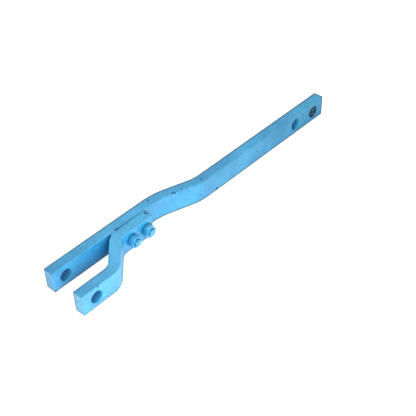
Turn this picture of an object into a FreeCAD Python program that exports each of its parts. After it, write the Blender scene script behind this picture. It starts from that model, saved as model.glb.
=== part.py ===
import FreeCAD, Part
import math
import os
import Sketcher
from FreeCAD import Placement, Rotation, Vector

# A tractor drawbar: a joggled flat bar, and a cranked strap bolted to it that makes a clevis.
# The bar lies on its narrow edge. X runs from the clevis to the tractor, Z is up and the strap
# is on the -Y side. The origin is on the hitch pin's axis, midway across the clevis.

sizes = {
    # flat bar stock, in mm
    "barWidth": 60,
    "barThickness": 30,
    "strapWidth": 60,
    "strapThickness": 30,
    "rolledEdge": 2,  # corner radius of the rolled section
    "sawnEdge": 1,  # chamfer filed on the sawn ends
    # clevis
    "clevisGap": 75,
    "pinHole": 33,
    "pinMargin": 38,  # from the bar's end to the pin's axis
    "strapOverhang": 4,  # how far the strap's end stands past the bar's
    "rimChamfer": 1.2,  # on each pin hole's rims
    # strap, along its length
    "strapArm": 94,  # straight arm of the clevis
    "strapAngle": 45,  # degrees
    "strapBend": 45,  # radius of both bends, at mid thickness
    "washerClear": 1.3,  # from the end of the second bend to the first washer
    "boltSpacing": 48,
    "boltMargin": 23,  # from the last bolt to the strap's end
    "boltLift": 1.5,  # bolts above the middle of the width
    # bar, along its length
    "bareLength": 45,  # from the strap's end to the joggle
    "joggleAngle": 18,  # degrees
    "joggleOffset": 37.5,
    "hitchSideBend": 60,  # radius at mid thickness, nearer the clevis
    "tractorSideBend": 120,
    "tractorStraight": 491,
    "pivotHole": 33,
    "pivotMargin": 44,  # from the bar's end to the first pivot hole
    "pivotSpacing": 80,
    # bolts, nuts and spring lock washers
    "boltDiameter": 20,
    "boltLength": 82.5,
    "boltHole": 22,
    "hexAcross": 30,
    "headHeight": 10,
    "faceDiameter": 28,  # round face that each nut bears on
    "faceHeight": 0.6,
    "tipChamfer": 1,
    "nutHeight": 14,
    "threadClear": 0.05,  # between the nut's thread and the bolt's, on the radius
    "nutSink": 1,  # countersink at the outer end of the nut's thread
    "crownDiameter": 28.5,  # flat circle left on a hexagon's face
    "crownAngle": 30,  # degrees
    "washerOuter": 33.6,
    "washerClearance": 0.1,  # between the washer and the bolt, on the radius
    "washerHeight": 4,
    "slitWidth": 3,
    "slitAngle": 25,  # degrees that the slit leans
    "nearNutTurn": 51,  # degrees that each nut came to rest at
    "farNutTurn": 5,
}

doc = FreeCAD.newDocument("Drawbar")
sheet = doc.addObject("Spreadsheet::Sheet", "sizes")
for row, (name, size) in enumerate(sizes.items(), start=1):
    sheet.set(f"A{row}", name)
    sheet.set(f"B{row}", str(size))
    sheet.setAlias(f"B{row}", name)
doc.recompute()

bodies = []


def number(expression):
    return float(sheet.evalExpression(expression))


def newBody(name, **places):
    # places are expressions for the body's position and for its turn about its own Z axis
    body = doc.addObject("PartDesign::Body", name)
    body.Label = name
    bodies.append(body)
    for path, expression in places.items():
        body.setExpression(f"Placement.Base.{path}", expression)
    return body


def newSketch(body, name, planeRole, lift=None):
    plane = next(f for f in body.Origin.OriginFeatures if f.Role == planeRole)
    sketch = body.newObject("Sketcher::SketchObject", name)
    sketch.AttachmentSupport = (plane, [""])
    sketch.MapMode = "FlatFace"
    if lift:
        sketch.setExpression("AttachmentOffset.Base.z", lift)
    return sketch


def dimension(sketch, kind, *where, value):
    # value is an expression, and stays bound to the sheet
    index = sketch.addConstraint(Sketcher.Constraint(kind, *where, number(value)))
    sketch.setExpression(f"Constraints[{index}]", value)


def join(sketch, kind, one, other):
    # ties the two nearest ends of two edges, meeting at a corner or tangent
    def gap(ends):
        return sketch.getPoint(one, ends[0]).distanceToPoint(sketch.getPoint(other, ends[1]))

    end, start = min(((a, b) for a in (1, 2) for b in (1, 2)), key=gap)
    sketch.addConstraint(Sketcher.Constraint(kind, one, end, other, start))


def outline(sketch, corners):
    # a closed outline of straight edges through corners, each given as two expressions
    points = [Vector(number(x), number(y), 0) for x, y in corners]
    first = sketch.GeometryCount
    for start, end in zip(points, points[1:] + points[:1]):
        sketch.addGeometry(Part.LineSegment(start, end))
    for index, (x, y) in enumerate(corners):
        edge = first + index
        before = first + (index - 1) % len(corners)
        sketch.addConstraint(Sketcher.Constraint("Coincident", before, 2, edge, 1))
        dimension(sketch, "DistanceX", edge, 1, value=x)
        dimension(sketch, "DistanceY", edge, 1, value=y)


def circle(sketch, x, y, diameter):
    index = sketch.addGeometry(Part.Circle(Vector(number(x), number(y), 0), Vector(0, 0, 1),
                                           number(diameter) / 2))
    dimension(sketch, "DistanceX", index, 3, value=x)
    dimension(sketch, "DistanceY", index, 3, value=y)
    dimension(sketch, "Diameter", index, value=diameter)


def pad(body, sketch, name, length, symmetric=False):
    feature = body.newObject("PartDesign::Pad", name)
    feature.Profile = sketch
    if symmetric:
        feature.SideType = "Symmetric"
    feature.setExpression("Length", length)
    return feature


def cutThrough(body, sketch, name):
    # a pocket that runs both ways from the sketch, through everything
    feature = body.newObject("PartDesign::Pocket", name)
    feature.Profile = sketch
    feature.Type = "ThroughAll"
    feature.SideType = "Symmetric"
    return feature


def dressEdges(body, kind, name, size, wanted):
    # a fillet or chamfer on every edge of the last feature that wanted picks
    doc.recompute()
    base = body.Tip
    edges = [f"Edge{i}" for i, edge in enumerate(base.Shape.Edges, start=1) if wanted(edge)]
    feature = body.newObject(f"PartDesign::{kind}", name)
    feature.Base = (base, edges)
    feature.setExpression("Radius" if kind == "Fillet" else "Size", size)
    return feature


def isRim(edge, diameter):
    curve = edge.Curve
    return isinstance(curve, Part.Circle) and math.isclose(curve.Radius * 2, number(diameter), rel_tol=1e-6)


# The two bent bars


def bendRun(offset, angle, nearBend, farBend):
    # length along X that a double bend takes
    return f"({offset} / tan({angle}) + ({nearBend} + {farBend}) * tan({angle} / 2))"


def bentProfile(sketch, side, near, far, offset, angle, nearBend, farBend, thickness):
    # Flat bar seen on its narrow edge: straight, a bend to one side, a slope, a bend back and
    # straight again. side is 1 where it steps towards +Y and -1 towards -Y.
    run = bendRun(offset, angle, nearBend, farBend)
    start = number(near)
    end = start + number(run)
    half = number(thickness) / 2
    turn = math.radians(number(angle))
    upright = Vector(0, 0, 1)
    bends = (
        (Vector(start, half + side * number(nearBend), 0), number(nearBend), -side),
        (Vector(end, half + side * (number(offset) - number(farBend)), 0), number(farBend), side),
    )
    longEdges = []
    for face in (0, 2 * half):
        arcs = []
        for centre, radius, way in bends:
            level = math.pi / 2 * way
            slope = level + side * turn
            ring = Part.Circle(centre, upright, radius + way * (face - half))
            arcs.append(Part.ArcOfCircle(ring, min(level, slope), max(level, slope)))
        nearArc, farArc = arcs
        nearEnds = sorted((nearArc.StartPoint, nearArc.EndPoint), key=lambda p: p.x)
        farEnds = sorted((farArc.StartPoint, farArc.EndPoint), key=lambda p: p.x)
        level = side * number(offset) + face
        edges = (
            Part.LineSegment(Vector(0, face, 0), nearEnds[0]),
            nearArc,
            Part.LineSegment(nearEnds[1], farEnds[0]),
            farArc,
            Part.LineSegment(farEnds[1], Vector(end + number(far), level, 0)),
        )
        longEdges.append([sketch.addGeometry(edge) for edge in edges])
    front, back = longEdges
    ends = [
        sketch.addGeometry(Part.LineSegment(sketch.getPoint(front[0], 1), sketch.getPoint(back[0], 1))),
        sketch.addGeometry(Part.LineSegment(sketch.getPoint(front[4], 2), sketch.getPoint(back[4], 2))),
    ]
    for edges in longEdges:
        for one, other in zip(edges, edges[1:]):
            join(sketch, "Tangent", one, other)
        join(sketch, "Coincident", edges[0], ends[0])
        join(sketch, "Coincident", edges[4], ends[1])
        sketch.addConstraint(Sketcher.Constraint("Horizontal", edges[0]))
        sketch.addConstraint(Sketcher.Constraint("Horizontal", edges[4]))
    for edge in ends:
        sketch.addConstraint(Sketcher.Constraint("Vertical", edge))
    for arc in (1, 3):
        sketch.addConstraint(Sketcher.Constraint("Coincident", front[arc], 3, back[arc], 3))
    sketch.addConstraint(Sketcher.Constraint("Coincident", front[0], 1, -1, 1))
    sign = "+" if side > 0 else "-"
    dimension(sketch, "DistanceY", ends[0], 1, ends[0], 2, value=thickness)
    dimension(sketch, "DistanceX", front[0], 1, front[0], 2, value=near)
    dimension(sketch, "Radius", front[1], value=f"{nearBend} {sign} {thickness} / 2")
    dimension(sketch, "Radius", back[3], value=f"{farBend} {sign} {thickness} / 2")
    dimension(sketch, "DistanceX", front[4], 1, front[4], 2, value=far)
    dimension(sketch, "DistanceX", front[3], 3, value=f"{near} + {run}")
    dimension(sketch, "DistanceY", front[4], 1, value=f"{side} * {offset}")


def bentBar(body, width, thickness, side, near, far, offset, angle, nearBend, farBend, holes):
    # holes are (x, z, diameter) in the body, drilled across the thickness
    profile = newSketch(body, body.Name + "Profile", "XY_Plane")
    bentProfile(profile, side, near, far, offset, angle, nearBend, farBend, thickness)
    pad(body, profile, body.Name + "Stock", width, symmetric=True)

    def rolled(edge):
        # the long corners lie flat at the top and bottom edges, and run along the bar
        box = edge.BoundBox
        level = math.isclose(abs(box.Center.z), number(width) / 2, rel_tol=1e-6)
        return level and box.ZLength < 0.01 and box.XLength > 0.01

    dressEdges(body, "Fillet", body.Name + "RolledEdges", "sizes.rolledEdge", rolled)
    doc.recompute()
    stock = body.Tip.Shape.BoundBox
    ends = (stock.XMin, stock.XMax)

    def sawn(edge):
        box = edge.BoundBox
        return box.XLength < 0.01 and min(abs(box.Center.x - end) for end in ends) < 0.01

    dressEdges(body, "Chamfer", body.Name + "SawnEnds", "sizes.sawnEdge", sawn)
    drilled = newSketch(body, body.Name + "Holes", "XZ_Plane")
    for x, z, diameter in holes:
        circle(drilled, x, z, diameter)
    cutThrough(body, drilled, body.Name + "Drilled")


mouth = "sizes.clevisGap / 2"
strapRun = bendRun("sizes.clevisGap", "sizes.strapAngle", "sizes.strapBend", "sizes.strapBend")
joggleRun = bendRun("sizes.joggleOffset", "sizes.joggleAngle", "sizes.hitchSideBend",
                    "sizes.tractorSideBend")

# along X from the pin's axis
strapStart = "(0 - sizes.pinMargin - sizes.strapOverhang)"
barStart = "(0 - sizes.pinMargin)"
nearBolt = f"({strapStart} + sizes.strapArm + {strapRun} + sizes.washerClear + sizes.washerOuter / 2)"
farBolt = f"({nearBolt} + sizes.boltSpacing)"
strapEnd = f"({farBolt} + sizes.boltMargin)"
joggleStart = f"({strapEnd} + sizes.bareLength)"
barEnd = f"({joggleStart} + {joggleRun} + sizes.tractorStraight)"
firstPivot = f"({barEnd} - sizes.pivotMargin)"
secondPivot = f"({firstPivot} - sizes.pivotSpacing)"

drawbar = newBody("drawbar", x=barStart, y=mouth)
bentBar(drawbar, "sizes.barWidth", "sizes.barThickness", -1,
        f"({joggleStart} - {barStart})", "sizes.tractorStraight",
        "sizes.joggleOffset", "sizes.joggleAngle", "sizes.hitchSideBend", "sizes.tractorSideBend",
        ((f"0 - {barStart}", "0", "sizes.pinHole"),
         (f"{nearBolt} - {barStart}", "sizes.boltLift", "sizes.boltHole"),
         (f"{farBolt} - {barStart}", "sizes.boltLift", "sizes.boltHole"),
         (f"{secondPivot} - {barStart}", "0", "sizes.pivotHole"),
         (f"{firstPivot} - {barStart}", "0", "sizes.pivotHole")))
dressEdges(drawbar, "Chamfer", "drawbarPinRims", "sizes.rimChamfer",
           lambda edge: isRim(edge, "sizes.pinHole") or isRim(edge, "sizes.pivotHole"))

strap = newBody("clevis_strap", x=strapStart, y=f"0 - {mouth} - sizes.strapThickness")
bentBar(strap, "sizes.strapWidth", "sizes.strapThickness", 1,
        "sizes.strapArm", f"({strapEnd} - {strapStart} - sizes.strapArm - {strapRun})",
        "sizes.clevisGap", "sizes.strapAngle", "sizes.strapBend", "sizes.strapBend",
        ((f"0 - {strapStart}", "0", "sizes.pinHole"),
         (f"{nearBolt} - {strapStart}", "sizes.boltLift", "sizes.boltHole"),
         (f"{farBolt} - {strapStart}", "sizes.boltLift", "sizes.boltHole")))
dressEdges(strap, "Chamfer", "strapPinRims", "sizes.rimChamfer",
           lambda edge: isRim(edge, "sizes.pinHole"))

# Bolts, nuts and lock washers, each drawn on its own Z axis


def hexagon(body, name, base, height, level, way):
    # a hexagonal prism from base up, with its corners turned off to a crown at one face;
    # level is that face's height, and way is 1 or -1, towards the metal below it
    corner = "(sizes.hexAcross / 2 / cos(30))"
    sketch = newSketch(body, name + "Sketch", "XY_Plane", base)
    outline(sketch, [(f"{corner} * cos({60 * i})", f"{corner} * sin({60 * i})") for i in range(6)])
    pad(body, sketch, name, height)
    turned = newSketch(body, name + "CrownSketch", "XZ_Plane")
    spread = f"({corner} - sizes.crownDiameter / 2 + 1)"
    outline(turned, [
        ("sizes.crownDiameter / 2", level),
        (f"sizes.crownDiameter / 2 + {spread}", level),
        (f"sizes.crownDiameter / 2 + {spread}", f"{level} + {way} * {spread} * tan(sizes.crownAngle)"),
    ])
    groove = body.newObject("PartDesign::Groove", name + "Crown")
    groove.Profile = turned
    groove.ReferenceAxis = (turned, ["V_Axis"])


def placeOnBolt(body, x, reach, turn=None):
    # stands a piece's Z axis along -Y, from the back face of the bar to the nut
    body.setExpression("Placement.Base.x", x)
    body.setExpression("Placement.Base.y", f"{mouth} {reach}")
    body.setExpression("Placement.Base.z", "sizes.boltLift")
    upright = Rotation(Vector(1, 0, 0), 90)
    spin = Rotation(Vector(0, 0, 1), number(turn)) if turn else Rotation()
    body.Placement = Placement(body.Placement.Base, upright * spin)


def makeBolt(name, x):
    # from the bearing face under the head, at 0, up to the tip
    body = newBody(name)
    sketch = newSketch(body, name + "Section", "XZ_Plane")
    shank = "sizes.boltDiameter / 2"
    outline(sketch, [
        ("0", "0"),
        (shank, "0"),
        (shank, "sizes.boltLength - sizes.tipChamfer"),
        (f"{shank} - sizes.tipChamfer", "sizes.boltLength"),
        ("0", "sizes.boltLength"),
    ])
    turned = body.newObject("PartDesign::Revolution", name + "Shank")
    turned.Profile = sketch
    turned.ReferenceAxis = (sketch, ["V_Axis"])
    hexagon(body, name + "Head", "0 - sizes.headHeight", "sizes.headHeight", "0 - sizes.headHeight", 1)
    placeOnBolt(body, x, "+ sizes.barThickness")
    return body


def makeNut(name, x, turn):
    # from the face on the washer, at 0, up
    body = newBody(name)
    hexagon(body, name + "Block", "sizes.faceHeight", "sizes.nutHeight - sizes.faceHeight",
            "sizes.nutHeight", -1)
    face = newSketch(body, name + "FaceSketch", "XY_Plane")
    circle(face, "0", "0", "sizes.faceDiameter")
    pad(body, face, name + "Face", "sizes.faceHeight")
    drilled = newSketch(body, name + "BoreSketch", "XY_Plane")
    bore = "(sizes.boltDiameter + 2 * sizes.threadClear)"
    circle(drilled, "0", "0", bore)
    cutThrough(body, drilled, name + "Bore")
    outer = number("sizes.nutHeight") / 2
    dressEdges(body, "Chamfer", name + "Sink", "sizes.nutSink",
               lambda edge: isRim(edge, bore) and edge.BoundBox.ZMin > outer)
    placeOnBolt(body, x, "- sizes.strapThickness - sizes.washerHeight", turn)
    return body


def makeWasher(name, x):
    # a spring lock washer pressed flat, from the strap's face, at 0, up
    body = newBody(name)
    sketch = newSketch(body, name + "Section", "XY_Plane")
    bore = "(sizes.boltDiameter + 2 * sizes.washerClearance)"
    circle(sketch, "0", "0", "sizes.washerOuter")
    circle(sketch, "0", "0", bore)
    pad(body, sketch, name + "Ring", "sizes.washerHeight")
    cut = newSketch(body, name + "SlitSketch", "XZ_Plane")
    lean = "sizes.washerHeight * tan(sizes.slitAngle)"
    outline(cut, [
        ("0", "0"),
        ("sizes.slitWidth", "0"),
        (f"sizes.slitWidth + {lean}", "sizes.washerHeight"),
        (lean, "sizes.washerHeight"),
    ])
    slit = body.newObject("PartDesign::Pocket", name + "Slit")
    slit.Profile = cut
    slit.setExpression("Length", "sizes.washerOuter")
    placeOnBolt(body, x, "- sizes.strapThickness")
    return body


for name, x, turn in (("front", nearBolt, "sizes.nearNutTurn"), ("rear", farBolt, "sizes.farNutTurn")):
    makeBolt(f"{name}_bolt", x)
    makeWasher(f"{name}_lock_washer", x)
    makeNut(f"{name}_nut", x, turn)

doc.recompute()
for item in doc.Objects:
    if "Invalid" in item.State or "Error" in item.State:
        raise RuntimeError(f"{item.Name} did not build: {item.State}")
os.makedirs("parts", exist_ok=True)
for body in bodies:
    if body.Shape.isNull() or not body.Shape.isValid():
        raise RuntimeError(f"{body.Label} has no valid solid")
    if len(body.Shape.Solids) != 1:
        raise RuntimeError(f"{body.Label} is not one solid")
    print(body.Label, round(body.Shape.Volume), "mm3")
for body in bodies:
    body.Shape.exportStep(f"parts/{body.Label}.step")
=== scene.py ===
import math

import bmesh
import bpy
import numpy as np
from mathutils import Matrix, Vector


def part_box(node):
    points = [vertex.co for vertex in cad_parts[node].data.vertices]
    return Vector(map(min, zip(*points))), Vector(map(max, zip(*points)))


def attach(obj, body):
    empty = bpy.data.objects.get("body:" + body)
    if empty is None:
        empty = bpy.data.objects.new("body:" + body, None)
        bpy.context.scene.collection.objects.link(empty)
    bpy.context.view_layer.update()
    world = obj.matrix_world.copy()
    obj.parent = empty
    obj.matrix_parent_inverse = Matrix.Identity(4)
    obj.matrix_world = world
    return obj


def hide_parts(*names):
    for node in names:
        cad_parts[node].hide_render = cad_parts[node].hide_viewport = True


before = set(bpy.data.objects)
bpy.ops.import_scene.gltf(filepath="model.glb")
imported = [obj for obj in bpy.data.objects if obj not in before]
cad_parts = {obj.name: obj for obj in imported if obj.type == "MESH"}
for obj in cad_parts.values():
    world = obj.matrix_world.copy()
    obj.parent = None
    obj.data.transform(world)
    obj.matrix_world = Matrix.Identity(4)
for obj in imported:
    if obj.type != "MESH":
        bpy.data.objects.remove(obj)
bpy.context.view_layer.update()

mm = 0.001


# Helpers for nodes, colours and pieces

def linear(hexColour):
    # sRGB hex, as a colour is read off a screen, to the linear values that shaders use
    parts = [int(hexColour[i:i + 2], 16) / 255 for i in (1, 3, 5)]
    return [p / 12.92 if p <= 0.04045 else ((p + 0.055) / 1.055) ** 2.4 for p in parts] + [1]


def addNode(tree, kind, inputs=None, **settings):
    # inputs maps a socket's name or number to a value, to the socket that feeds it, or to a list
    # of sockets that all feed it
    node = tree.nodes.new(kind)
    for name, value in settings.items():
        setattr(node, name, value)
    for socket, value in (inputs or {}).items():
        sources = value if isinstance(value, list) else [value]
        if all(isinstance(source, bpy.types.NodeSocket) for source in sources):
            for source in sources:
                tree.links.new(source, node.inputs[socket])
        else:
            node.inputs[socket].default_value = value
    return node


def newTree(name, sockets):
    # a Geometry Nodes tree with named inputs, each (name, kind of socket)
    tree = bpy.data.node_groups.new(name, "GeometryNodeTree")
    tree.interface.new_socket("Geometry", in_out="OUTPUT", socket_type="NodeSocketGeometry")
    for socketName, kind in sockets:
        tree.interface.new_socket(socketName, in_out="INPUT", socket_type="NodeSocket" + kind)
    return tree, addNode(tree, "NodeGroupInput").outputs


def endTree(tree, geometry):
    real = addNode(tree, "GeometryNodeRealizeInstances", {0: geometry})
    smooth = addNode(tree, "GeometryNodeSetShadeSmooth", {0: real.outputs[0]})
    addNode(tree, "NodeGroupOutput", {0: smooth.outputs[0]})


def bake(name, tree, values, start=None, rounding=0.0):
    # runs a tree on start, or on nothing, and returns the result as a plain mesh object
    holder = bpy.data.objects.new(name + "Maker", start or bpy.data.meshes.new(name + "Maker"))
    bpy.context.scene.collection.objects.link(holder)
    maker = holder.modifiers.new("maker", "NODES")
    maker.node_group = tree
    identifiers = {s.name: s.identifier for s in tree.interface.items_tree if s.in_out == "INPUT"}
    for key, value in values.items():
        maker[identifiers[key]] = value
    if rounding:
        soft = holder.modifiers.new("soft", "BEVEL")
        soft.width = rounding
        soft.segments = 2
        soft.limit_method = "ANGLE"
        soft.angle_limit = math.radians(28)
    holder.update_tag()
    ready = holder.evaluated_get(bpy.context.evaluated_depsgraph_get())
    mesh = bpy.data.meshes.new_from_object(ready)
    mesh.name = name
    bpy.data.objects.remove(holder)
    piece = bpy.data.objects.new(name, mesh)
    bpy.context.scene.collection.objects.link(piece)
    mesh.set_sharp_from_angle(angle=math.radians(32))
    return piece


def boxOf(node):
    low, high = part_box(node)
    return Vector(low), Vector(high)


# Materials

enamelLook = {
    "thin": "#2b99cf",  # where the coat is thinner
    "thick": "#46bdf2",
    "rubbed": "#46829f",  # coat worn thin beside a corner
    "worn": "#2f5870",  # primer and steel at a corner
    # colour of chipped paint, also used for spots of painted shadow
    "chipAndShadow": "#326985",
    "grime": "#0a4675",  # dirt on top by the clevis end, and painted shade along the seam and in the narrow gap
    "gloss": 0.36,
    "shine": 0.95,
    "peel": 1.4,  # mm between the bumps of sprayed paint
    "scale": 9.0,  # mm across a patch of mill scale under the paint
    "roll": 5.0,  # mm across a rolling mark
    "mottle": 70.0,  # mm across a lighter or darker patch
    "fleck": 8.0,  # mm across the finer patches in it
    "speckle": 2.6,  # mm across the grains that give the coat its bite
    "patch": 5.0,  # mm across a patch where a rubbed corner breaks up
    "ridge": 4.74,  # mm between saw marks, drawn coarser than real ones so that they show
    "dullGloss": 0.6,  # roughness and shine where the coat is bare, dirty or chipped, and in painted shade
    "dullShine": 0.15,
}


def perMetre(size):
    # texture scale for a pattern of this size in mm
    return 1 / (size * mm)


def bandsPerMetre(size):
    # the same for a wave texture, whose bands repeat 20 / tau times in a unit
    return perMetre(size) * math.tau / 20


def enamelOnSteel(name, wearFrom=0.55, spots=()):
    # Sprayed enamel on hot-rolled flat bar: an even satin blue, with rolling marks and mill scale
    # showing faintly through it, and a rubbed grey line where handling wears the corners.
    look = enamelLook
    material = bpy.data.materials.new(name)
    material.use_nodes = True
    tree = material.node_tree
    shader = tree.nodes["Principled BSDF"]
    place = addNode(tree, "ShaderNodeTexCoord").outputs["Object"]
    along = addNode(tree, "ShaderNodeAttribute", attribute_name="barSpace").outputs["Vector"]
    wear = addNode(tree, "ShaderNodeAttribute", attribute_name="wear").outputs["Fac"]
    grime = addNode(tree, "ShaderNodeAttribute", attribute_name="grime").outputs["Fac"]

    mottle = addNode(tree, "ShaderNodeTexNoise", {
        "Vector": place, "Scale": perMetre(look["mottle"]), "Detail": 3.0, "Roughness": 0.55})
    fleck = addNode(tree, "ShaderNodeTexNoise", {
        "Vector": place, "Scale": perMetre(look["fleck"]), "Detail": 4.0, "Roughness": 0.6})
    speckle = addNode(tree, "ShaderNodeTexNoise", {
        "Vector": place, "Scale": perMetre(look["speckle"]), "Detail": 2.0, "Roughness": 0.7})
    both = addNode(tree, "ShaderNodeMix", {
        "Factor": 0.4, 2: mottle.outputs["Fac"], 3: fleck.outputs["Fac"]}, data_type="FLOAT")
    grains = addNode(tree, "ShaderNodeMix", {
        "Factor": 0.35, 2: both.outputs[0], 3: speckle.outputs["Fac"]}, data_type="FLOAT")
    tone = addNode(tree, "ShaderNodeValToRGB", {"Fac": grains.outputs[0]})
    tone.color_ramp.elements[0].position = 0.41
    tone.color_ramp.elements[0].color = linear(look["thin"])
    tone.color_ramp.elements[1].position = 0.59
    tone.color_ramp.elements[1].color = linear(look["thick"])

    stretch = addNode(tree, "ShaderNodeMapping", {
        "Vector": along, "Scale": (0.06, 1, 1)}, vector_type="POINT")
    roll = addNode(tree, "ShaderNodeTexNoise", {
        "Vector": stretch.outputs[0], "Scale": perMetre(look["roll"]), "Detail": 3.0})
    scale = addNode(tree, "ShaderNodeTexNoise", {
        "Vector": place, "Scale": perMetre(look["scale"]), "Detail": 6.0, "Roughness": 0.6})
    peel = addNode(tree, "ShaderNodeTexNoise", {
        "Vector": place, "Scale": perMetre(look["peel"]), "Detail": 1.0})
    low = addNode(tree, "ShaderNodeBump", {
        "Strength": 0.45, "Distance": 0.5 * mm, "Height": scale.outputs["Fac"]})
    mid = addNode(tree, "ShaderNodeBump", {
        "Strength": 0.4, "Distance": 0.4 * mm, "Height": roll.outputs["Fac"],
        "Normal": low.outputs[0]})
    fine = addNode(tree, "ShaderNodeBump", {
        "Strength": 0.12, "Distance": 0.12 * mm, "Height": peel.outputs["Fac"],
        "Normal": mid.outputs[0]})

    # the coat thins beside a rubbed corner and breaks up along it
    patchy = addNode(tree, "ShaderNodeTexNoise", {
        "Vector": place, "Scale": perMetre(look["patch"]), "Detail": 5.0, "Roughness": 0.7})
    rubbed = addNode(tree, "ShaderNodeMath", {0: patchy.outputs["Fac"], 1: 1.2, 2: wear},
                     operation="MULTIPLY_ADD")
    thin = addNode(tree, "ShaderNodeMapRange", {
        "Value": rubbed.outputs[0], "From Min": wearFrom + 0.3, "From Max": wearFrom + 0.6})
    bare = addNode(tree, "ShaderNodeMapRange", {
        "Value": rubbed.outputs[0], "From Min": wearFrom + 0.8, "From Max": wearFrom + 1.0})
    colour = tone.outputs["Color"]
    # the last mask darkens the paint with dirt on top and with painted shade in the seam and the
    # gap
    for mask, shade in ((thin.outputs[0], "rubbed"), (bare.outputs[0], "worn"), (grime, "grime")):
        colour = addNode(tree, "ShaderNodeMix", {
            "Factor": mask, 6: colour, 7: linear(look[shade])}, data_type="RGBA").outputs[2]

    # chipped paint, and spots of painted shadow cast by the strap's far end where the list holds
    # them
    chipAndShadowMask = 0.0
    for x, y, z, radius in spots:
        gap = addNode(tree, "ShaderNodeVectorMath", {
            0: place, 1: (x * mm, y * mm, z * mm)}, operation="DISTANCE")
        rough = addNode(tree, "ShaderNodeMath", {
            0: patchy.outputs["Fac"], 1: 2.2 * radius * mm, 2: gap.outputs["Value"]},
            operation="MULTIPLY_ADD")
        spot = addNode(tree, "ShaderNodeMapRange", {
            "Value": rough.outputs[0], "From Min": 2.0 * radius * mm,
            "From Max": 1.7 * radius * mm})
        chipAndShadowMask = addNode(tree, "ShaderNodeMath", {0: chipAndShadowMask, 1: spot.outputs[0]},
                          operation="MAXIMUM").outputs[0]
    colour = addNode(tree, "ShaderNodeMix", {
        "Factor": chipAndShadowMask, 6: colour, 7: linear(look["chipAndShadow"])}, data_type="RGBA").outputs[2]

    dull = addNode(tree, "ShaderNodeMath", {0: bare.outputs[0], 1: grime}, operation="MAXIMUM")
    dull = addNode(tree, "ShaderNodeMath", {0: dull.outputs[0], 1: chipAndShadowMask}, operation="MAXIMUM")
    gloss = addNode(tree, "ShaderNodeMapRange", {
        "Value": dull.outputs[0], "To Min": look["gloss"], "To Max": look["dullGloss"]})
    shine = addNode(tree, "ShaderNodeMapRange", {
        "Value": dull.outputs[0], "To Min": look["shine"], "To Max": look["dullShine"]})
    tree.links.new(colour, shader.inputs["Base Color"])
    tree.links.new(gloss.outputs[0], shader.inputs["Roughness"])
    tree.links.new(fine.outputs[0], shader.inputs["Normal"])
    shader.inputs["IOR"].default_value = 1.5
    shader.inputs["Specular IOR Level"].default_value = look["shine"]
    tree.links.new(shine.outputs[0], shader.inputs["Specular IOR Level"])
    return material


def sawnSteelEnamelled(spots):
    # The bars' ends, cut with a saw and painted over: fine ridges right across show in the gloss.
    material = enamelOnSteel("sawnSteelEnamelled", wearFrom=0.5, spots=spots)
    tree = material.node_tree
    shader = tree.nodes["Principled BSDF"]
    place = addNode(tree, "ShaderNodeTexCoord").outputs["Object"]
    ridges = addNode(tree, "ShaderNodeTexWave", {
        "Vector": place, "Scale": bandsPerMetre(enamelLook["ridge"]), "Distortion": 1.5,
        "Detail": 2.0, "Detail Scale": 3.0}, wave_type="BANDS", bands_direction="Z")
    bump = addNode(tree, "ShaderNodeBump", {
        "Strength": 0.3, "Distance": 0.25 * mm, "Height": ridges.outputs["Fac"],
        "Normal": shader.inputs["Normal"].links[0].from_socket})
    tree.links.new(bump.outputs[0], shader.inputs["Normal"])
    return material


boreLook = {
    "paint": "#45b3df",
    "deepShade": "#176aa3",  # painted shade deep in the bore
    "darkestPlace": 6.0,  # mm past the middle, towards the back, where the painted shade is darkest
    "reach": (6.0, 19.0),  # mm off the darkest place where the painted shade starts to lift and is gone
    "steel": "#14597f",  # steel under a blue stain of paint
    "steelHighlight": "#a3b596",  # lighter patches on the bare steel: a painted highlight
    "bareFrom": 840.0,  # mm along X past which the bores have lost their paint
    "patch": 9.0,  # mm across a patch of paint
    "highlightPatch": 6.0,  # mm across a patch of painted highlight
    "ring": 3.16,  # mm between rings from the drill, drawn coarser than real ones so that they show
}


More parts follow.
